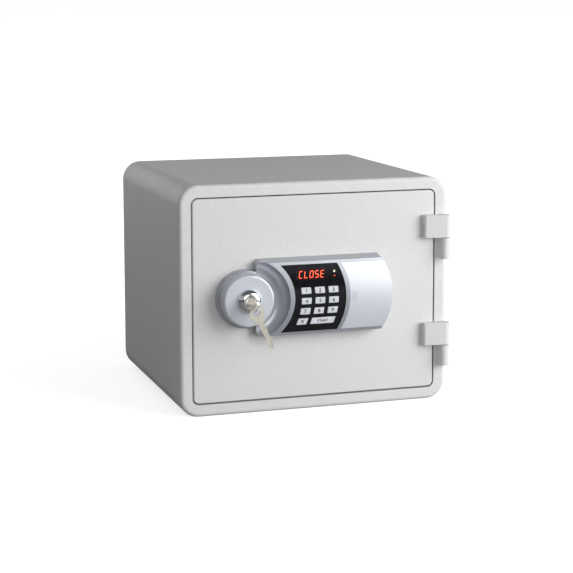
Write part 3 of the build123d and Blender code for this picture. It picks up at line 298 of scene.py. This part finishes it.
def rolled_metal(name, colour, roughness, size, stretch, metallic=1.0, depth=0.02 * MM):
    """Bare metal with fine drawn lines: noise stretched along the way it was rolled or turned."""
    material, shader = new_material(name, Metallic=metallic)
    lines = noise(material, size, detail=3, scale=stretch)
    tint(material, shader, lines, shades(colour, 0.04))
    gloss(material, shader, lines, roughness - 0.06, roughness + 0.1)
    scratches = noise(material, 5 * MM, detail=6, rough=0.7)
    bumps(material, shader, [(lines, depth, 0.5), (scratches, depth, 0.3)])
    return material


def zinc_plate(name):
    """Zinc plated sheet: soft spangles of differing tone and gloss."""
    material, shader = new_material(name, Metallic=1.0)
    tone, edge = cells(material, 3.2 * MM)
    tint(material, shader, tone, [(0.50, 0.52, 0.50), (0.66, 0.66, 0.62)], 0.0, 1.0)
    gloss(material, shader, noise(material, 6 * MM, detail=4), 0.30, 0.48)
    bumps(material, shader, [(edge, 0.03 * MM, 0.3), (noise(material, 0.8 * MM), 0.02 * MM, 0.4)])
    return material


def mineral_fill(name):
    """Poured mineral fill: chalky grains with small pores."""
    material, shader = new_material(name, Specular_IOR_Level=0.15)
    grain = noise(material, 2 * MM, detail=8, rough=0.75)
    tint(material, shader, grain, [(0.38, 0.35, 0.30), (0.66, 0.63, 0.56)])
    gloss(material, shader, grain, 0.85, 1.0)
    pores = cells(material, 3 * MM)[1]
    bumps(material, shader, [(pores, 0.4 * MM, 0.5), (grain, 0.3 * MM, 0.8)])
    return material


def seal_rubber(name):
    """Matt heat seal strip: near black, with a dusty bloom and fine grain."""
    material, shader = new_material(name, Specular_IOR_Level=0.3)
    bloom = noise(material, 12 * MM, detail=5)
    tint(material, shader, bloom, [(0.012, 0.012, 0.013), (0.035, 0.034, 0.034)], high=0.75)
    gloss(material, shader, bloom, 0.62, 0.82)
    bumps(material, shader, [(noise(material, 0.5 * MM, detail=3), 0.06 * MM, 0.7)])
    return material


def gloss_panel(name):
    """Tinted gloss panel: near black, with the faintest ripple and polishing haze."""
    material, shader = new_material(name, Specular_IOR_Level=0.4, Coat_Weight=0.25, Coat_Roughness=0.03)
    haze = noise(material, 7 * MM, detail=4)
    tint(material, shader, haze, [(0.0035, 0.0035, 0.005), (0.0075, 0.0075, 0.010)])
    gloss(material, shader, haze, 0.08, 0.15)
    bumps(material, shader, [(noise(material, 9 * MM, detail=1), 0.01 * MM, 0.5)])
    return material


def circuit_green(name):
    """Solder resist over tracks: a raised brick-like net of copper lines under green."""
    material, shader = new_material(name, Specular_IOR_Level=0.5, Coat_Weight=0.3)
    tracks = add_node(material, "ShaderNodeTexBrick", Scale=160.0, Mortar_Size=0.06)
    join(material, placed(material, turn=(math.pi / 2, 0, 0)), tracks.inputs["Vector"])
    tint(material, shader, tracks.outputs["Fac"], [(0.012, 0.11, 0.05), (0.03, 0.20, 0.09)], 0.0, 1.0)
    gloss(material, shader, noise(material, 5 * MM), 0.3, 0.42)
    bumps(material, shader, [(tracks.outputs["Fac"], 0.03 * MM, 0.6)])
    return material


def moulded_plastic(name, colour, roughness, grain=0.6 * MM, depth=0.03 * MM, level=0.4):
    """Moulded plastic with a fine spark grain and slight tonal drift."""
    material, shader = new_material(name, Specular_IOR_Level=level)
    drift = noise(material, 14 * MM, detail=3)
    tint(material, shader, drift, shades(colour, 0.06))
    gloss(material, shader, drift, roughness - 0.04, roughness + 0.05)
    bumps(material, shader, [(noise(material, grain, detail=3), depth, 0.6)])
    return material


def polished_chrome(name):
    """Bright chrome with wiping marks in its gloss."""
    material, shader = new_material(name, Metallic=1.0)
    marks = noise(material, 4 * MM, detail=6, rough=0.7)
    tint(material, shader, marks, [(0.80, 0.81, 0.83), (0.88, 0.88, 0.90)])
    gloss(material, shader, marks, 0.05, 0.13)
    bumps(material, shader, [(noise(material, 3 * MM, detail=1), 0.01 * MM, 0.3)])
    return material


def cell_wrap(name):
    """Wrapped cells: a dark sleeve with a copper-toned band at one end and bare metal ends."""
    low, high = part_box("batteries")
    material, shader = new_material(name)
    along = add_node(material, "ShaderNodeSeparateXYZ")
    length = high.x - low.x
    place = placed(material, scale=(1 / length, 1, 1), centre=(low.x, 0, 0))
    join(material, place, along.inputs["Vector"])
    metal, sleeve, band = (0.60, 0.60, 0.58), (0.015, 0.015, 0.018), (0.45, 0.20, 0.07)
    stops = [(0.0, metal), (0.035, metal), (0.04, sleeve), (0.66, sleeve)]
    stops += [(0.67, band), (0.955, band), (0.96, metal)]
    tones = ramp(material, along.outputs["X"], stops, smooth=False)
    join(material, tones, shader.inputs["Base Color"])
    bare, covered = (1, 1, 1), (0, 0, 0)
    ends = [(0.0, bare), (0.035, bare), (0.04, covered), (0.955, covered), (0.96, bare)]
    metallic = ramp(material, along.outputs["X"], ends, smooth=False)
    join(material, metallic, shader.inputs["Metallic"])
    gloss(material, shader, noise(material, 6 * MM, detail=4), 0.22, 0.34)
    bumps(material, shader, [(noise(material, 2 * MM), 0.02 * MM, 0.4)])
    return material


def glowing(name, colour, glow, strength, roughness=0.35):
    """A lit mark: its own colour with a slightly uneven surface."""
    material, shader = new_material(name, Emission_Strength=strength, Roughness=roughness)
    shader.inputs["Emission Color"].default_value = (*glow, 1)
    tint(material, shader, noise(material, 1.5 * MM), shades(colour, 0.15))
    return material


def printed_ink(name, colour):
    """Printed legend ink with worn, slightly uneven cover."""
    material, shader = new_material(name, Specular_IOR_Level=0.3)
    wear = noise(material, 0.9 * MM, detail=5)
    tint(material, shader, wear, shades(colour, 0.25))
    gloss(material, shader, wear, 0.5, 0.7)
    return material


finishes = {
    "case_paint": powder_coat("case_paint", (0.70, 0.70, 0.695)),
    "inner_paint": powder_coat("inner_paint", (0.56, 0.57, 0.58), 0.42, 1.0 * MM, 0.03 * MM),
    "mineral_fill": mineral_fill("mineral_fill"),
    "seal_rubber": seal_rubber("seal_rubber"),
    "plated_steel": zinc_plate("plated_steel"),
    "bright_steel": rolled_metal("bright_steel", (0.62, 0.62, 0.62), 0.26, 0.5 * MM, (6, 1, 1)),
    "washer_bronze": rolled_metal("washer_bronze", (0.52, 0.36, 0.16), 0.34, 0.6 * MM, (1, 1, 4)),
    "lock_silver": lacquered_silver("lock_silver", (0.42, 0.435, 0.475), 0.55, 0.34),
    "knob_silver": lacquered_silver("knob_silver", (0.62, 0.645, 0.70), 0.35, 0.4),
    "panel_black": gloss_panel("panel_black"),
    "board_green": circuit_green("board_green"),
    "display_red": moulded_plastic("display_red", (0.12, 0.008, 0.008), 0.2),
    "lamp_clear": glowing("lamp_clear", (0.75, 0.80, 0.62), (0.86, 0.92, 0.66), 0.55),
    "cover_silver": lacquered_silver("cover_silver", (0.71, 0.74, 0.80), 0.35, 0.36, 0.015),
    "tray_black": moulded_plastic("tray_black", (0.022, 0.022, 0.024), 0.5),
    "cell_wrap": cell_wrap("cell_wrap"),
    "cylinder_chrome": polished_chrome("cylinder_chrome"),
    "plug_nickel": rolled_metal("plug_nickel", (0.66, 0.62, 0.54), 0.28, 0.4 * MM, (1, 1, 1)),
    "key_nickel": rolled_metal("key_nickel", (0.80, 0.765, 0.67), 0.32, 0.6 * MM, (1, 1, 0.2), 0.7),
    "ring_steel": rolled_metal("ring_steel", (0.64, 0.64, 0.63), 0.22, 0.3 * MM, (1, 1, 1)),
    "key_silver": moulded_plastic("key_silver", (0.68, 0.70, 0.74), 0.36, level=0.5),
}
legend_ink = printed_ink("legend_ink", (0.03, 0.03, 0.045))
status_glow = glowing("status_glow", (0.5, 0.02, 0.01), (1.0, 0.11, 0.04), 1.7)
window_tint = glowing("window_tint", (0.02, 0.003, 0.004), (1.0, 0.05, 0.03), 0.014, 0.12)
contact_metal = rolled_metal("contact_metal", (0.62, 0.60, 0.56), 0.25, 0.5 * MM, (1, 1, 1))

for row in frame["record"]["subparts"]:
    node = nodes[row["node"]]
    node.data.materials.clear()
    node.data.materials.append(finishes[row["material_slot"]])


# ======== new pieces ========
def glyphs(word, size, spacing=1.0):
    """A word as a closed flat mesh: its points about the middle, and its faces."""
    curve = bpy.data.curves.new("glyphs", "FONT")
    curve.body = word
    curve.size = size
    curve.space_character = spacing
    curve.extrude = LEGEND_LIFT
    curve.offset = LEGEND_BOLD
    curve.resolution_u = 4
    text = bpy.data.objects.new("glyphs", curve)
    bpy.context.scene.collection.objects.link(text)
    mesh = bpy.data.meshes.new_from_object(text.evaluated_get(bpy.context.evaluated_depsgraph_get()))
    points = np.empty(3 * len(mesh.vertices), np.float32)
    mesh.vertices.foreach_get("co", points)
    faces = [list(p.vertices) for p in mesh.polygons]
    bpy.data.objects.remove(text)
    points = points.reshape(-1, 3).astype(float)
    middle = (points.min(axis=0) + points.max(axis=0)) / 2
    return points - middle * [1, 1, 0], faces


def key_legends():
    """The printed mark of each key: flat glyphs wrapped onto the key's crowned top."""
    for name in KEY_NAMES:
        mark = name.split("_")[1]
        low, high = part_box(name)
        word = mark.upper() if mark == "start" else mark
        size, spacing = (WORD_SIZE, WORD_SPACING) if mark == "start" else (DIGIT_SIZE, 1.0)
        flat, faces = glyphs(word, size, spacing)
        rise = flat[:, 1] + (low.z + high.z) / 2 - LOCK_Z
        across = flat[:, 0] + (low.x + high.x) / 2
        points = onto_crown(across, rise, flat[:, 2] + LEGEND_LIFT / 2, KEY_RADIUS)
        make_piece(f"legend_{mark}", points, faces, legend_ink, name)


def segment_outlines(word):
    """Bars with pointed ends, one for each lit segment: straight centre lines, sheared to the slant."""
    half_w, half_h = STATUS_WIDTH / 2 - STATUS_BAR, STATUS_HEIGHT / 2 - STATUS_BAR
    middles = {
        "a": (0, half_h, False),
        "b": (half_w, half_h / 2, True),
        "c": (half_w, -half_h / 2, True),
        "d": (0, -half_h, False),
        "e": (-half_w, -half_h / 2, True),
        "f": (-half_w, half_h / 2, True),
        "g": (0, 0, False),
    }
    tip = np.array([-1, -1, 1, 1, 1, -1])
    side = np.array([0, 1, 1, 0, -1, -1])
    inner = np.array([0, 1, 1, 0, 1, 1])
    bars = []
    for place, letter in enumerate(word):
        shift = (place - (len(word) - 1) / 2) * STATUS_PITCH
        for segment in SEGMENTS[letter]:
            x, rise, upright = middles[segment]
            half = (half_h / 2 if upright else half_w) - SEGMENT_GAP
            along = tip * (half - inner * STATUS_BAR)
            off = side * STATUS_BAR
            dx, dz = (off, along) if upright else (along, off)
            bars.append(np.stack([x + dx + shift, rise + dz], axis=1))
    bars = np.array(bars)
    bars[..., 0] += STATUS_SLANT * bars[..., 1] + STATUS_X
    bars[..., 1] += STATUS_RISE
    return bars


def status_display():
    """The tinted window, a rounded oblong of powered cosines and sines, the lit word, and the lamp's mark."""
    around = np.linspace(0, 2 * math.pi, WINDOW_SIDES, endpoint=False) + math.pi / WINDOW_SIDES
    oval = np.stack([np.cos(around), np.sin(around)], axis=1)
    window = np.sign(oval) * np.abs(oval) ** WINDOW_POWER * [WINDOW_W / 2, WINDOW_H / 2]
    window += [STATUS_X, STATUS_RISE]
    points, faces = prisms(window[None, ::-1], 0, WINDOW_THICK, PANEL_RADIUS)
    make_piece("display_window", points, faces, window_tint, "door")
    bars = segment_outlines(STATUS_WORD)
    points, faces = prisms(bars, WINDOW_THICK, WINDOW_THICK + PRINT_THICK, PANEL_RADIUS)
    make_piece("status_word", points, faces, status_glow, "door")
    low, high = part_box("status_led")
    turn = np.linspace(0, 2 * math.pi, MARK_SIDES, endpoint=False)
    mark = np.stack([np.cos(turn), np.sin(turn)], axis=1) * MARK_HALF
    mark += [(low.x + high.x) / 2, (low.z + high.z) / 2 - LOCK_Z - MARK_DROP]
    points, faces = prisms(mark[None, ::-1], 0, PRINT_THICK, PANEL_RADIUS)
    make_piece("low_battery_mark", points, faces, status_glow, "door")


def battery_contacts():
    """A spring strip over each end of every trough: a hooked line given a thickness and a width."""
    low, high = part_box("battery_tray")
    pitch = (high.z - low.z) / CELL_COUNT
    half = CONTACT_THICK / 2
    top = low.y - CONTACT_PROUD
    for side, wall, sign in (("left", low.x, 1), ("right", high.x, -1)):
        inner = wall + sign * CONTACT_INSIDE
        outer = wall - sign * CONTACT_OUTSIDE
        deep, hooked = top + CONTACT_DEPTH, top + CONTACT_HOOK
        line = np.array([(inner, deep), (inner, top), (outer, top), (outer, hooked)])
        step = sign * half
        away = np.array([(step, 0), (step, -half), (-step, -half), (-step, 0)])
        loop = np.concatenate([line + away, (line - away)[::-1]])
        for place in range(CELL_COUNT):
            middle = low.z + (place + 0.5) * pitch
            edges = (middle - CONTACT_HALF_WIDTH, middle + CONTACT_HALF_WIDTH)
            sections = [np.insert(loop, 2, edge, axis=1) for edge in edges]
            points = np.stack(sections)
            faces = grid_faces(2, len(loop), wrap_columns=True)
            ring = list(range(len(loop)))
            faces += [ring[::-1], [k + len(loop) for k in ring]]
            if sign < 0:
                faces = [f[::-1] for f in faces]
            name = f"battery_contact_{side}_{place + 1}"
            make_piece(name, points, faces, contact_metal, "door")


key_legends()
status_display()
battery_contacts()


# ======== floor, light and camera ========
def pale_floor():
    """A wide pale floor: white to the eye by its own glow, that glow dimmed near the safe as a painted shadow
    round its foot, and a softer grey in what it throws back.
    """
    mesh = bpy.data.meshes.new("floor")
    corners = [(x * FLOOR_HALF, y * FLOOR_HALF, 0) for x, y in ((-1, -1), (1, -1), (1, 1), (-1, 1))]
    mesh.from_pydata(corners, [], [(0, 1, 2, 3)])
    floor = bpy.data.objects.new("floor", mesh)
    bpy.context.scene.collection.objects.link(floor)
    material, shader = new_material("floor", Roughness=0.9, Specular_IOR_Level=0.1)
    tint(material, shader, noise(material, 4 * MM, detail=3), [(0.83, 0.83, 0.83), (0.86, 0.86, 0.86)])
    shader.inputs["Emission Color"].default_value = WHITE
    # Glow dimmed towards the safe's middle and full beyond FLOOR_FADE: painted shadow on the floor around the
    # safe.
    across = add_node(material, "ShaderNodeTexGradient", gradient_type="SPHERICAL")
    join(material, placed(material, scale=(1 / FLOOR_FADE,) * 3), across.inputs["Vector"])
    glow_with_painted_shadow = add_node(material, "ShaderNodeMapRange", To_Min=FLOOR_GLOW_FAR, To_Max=FLOOR_GLOW_NEAR_PAINTED_SHADOW)
    join(material, across.outputs["Fac"], glow_with_painted_shadow.inputs["Value"])
    join(material, glow_with_painted_shadow.outputs["Result"], shader.inputs["Emission Strength"])
    grey = add_node(material, "ShaderNodeBsdfDiffuse", Color=FLOOR_GREY)
    seen_and_thrown(material, shader.outputs["BSDF"], grey.outputs["BSDF"], "Material Output")
    mesh.materials.append(material)


def studio_world():
    """White to the eye; to everything else a soft room, brightest in a band above the horizon."""
    world = bpy.data.worlds.new("studio")
    world.use_nodes = True
    bpy.context.scene.world = world
    room = world.node_tree.nodes["Background"]
    direction = add_node(world, "ShaderNodeTexCoord")
    split = add_node(world, "ShaderNodeSeparateXYZ")
    join(world, direction.outputs["Generated"], split.inputs["Vector"])
    stops = [(height, (level, level, level * ROOM_BLUE)) for height, level in ROOM_BANDS]
    join(world, ramp(world, split.outputs["Z"], stops, smooth=False), room.inputs["Color"])
    white = add_node(world, "ShaderNodeBackground", Strength=1.0, Color=WHITE)
    seen_and_thrown(world, white.outputs["Background"], room.outputs["Background"], "World Output")


def soft_light(name, direction, distance, size, power):
    """A square area light, facing the safe's middle from a direction."""
    lamp = bpy.data.lights.new(name, "AREA")
    lamp.shape = "SQUARE"
    lamp.size = size
    lamp.energy = power
    light = bpy.data.objects.new(name, lamp)
    way = Vector(direction).normalized()
    light.location = Vector(SAFE_MIDDLE) + way * distance
    light.rotation_euler = way.to_track_quat("Z", "Y").to_euler()
    bpy.context.scene.collection.objects.link(light)


def camera():
    """A long lens from the front left, a little above, level with the horizon but for a slight roll."""
    level_out = math.cos(CAMERA_PITCH)
    across, away = math.sin(CAMERA_YAW) * level_out, math.cos(CAMERA_YAW) * level_out
    ahead = Vector((across, away, math.sin(CAMERA_PITCH)))
    level = ahead.cross(Vector((0, 0, 1))).normalized()
    over = level.cross(ahead)
    right = math.cos(CAMERA_ROLL) * level + math.sin(CAMERA_ROLL) * over
    up = math.cos(CAMERA_ROLL) * over - math.sin(CAMERA_ROLL) * level
    lens = bpy.data.cameras.new("camera")
    lens.lens = CAMERA_LENS
    lens.sensor_width = CAMERA_SENSOR
    lens.shift_y = CAMERA_SHIFT
    view = bpy.data.objects.new("camera", lens)
    turn = Matrix((right, up, -ahead)).transposed().to_4x4()
    view.matrix_world = Matrix.Translation(CAMERA_PLACE) @ turn
    bpy.context.scene.collection.objects.link(view)
    bpy.context.scene.camera = view


pale_floor()
studio_world()
soft_light("key_light", (0.70, -0.70, 0.23), 2.5, 2.0, 69)
soft_light("front_fill", (-0.12, -0.90, 0.20), 3.0, 1.0, 12)
soft_light("back_fill", (-0.30, 0.90, 0.15), 3.0, 2.0, 18)
camera()
bpy.context.scene.view_settings.view_transform = "Standard"
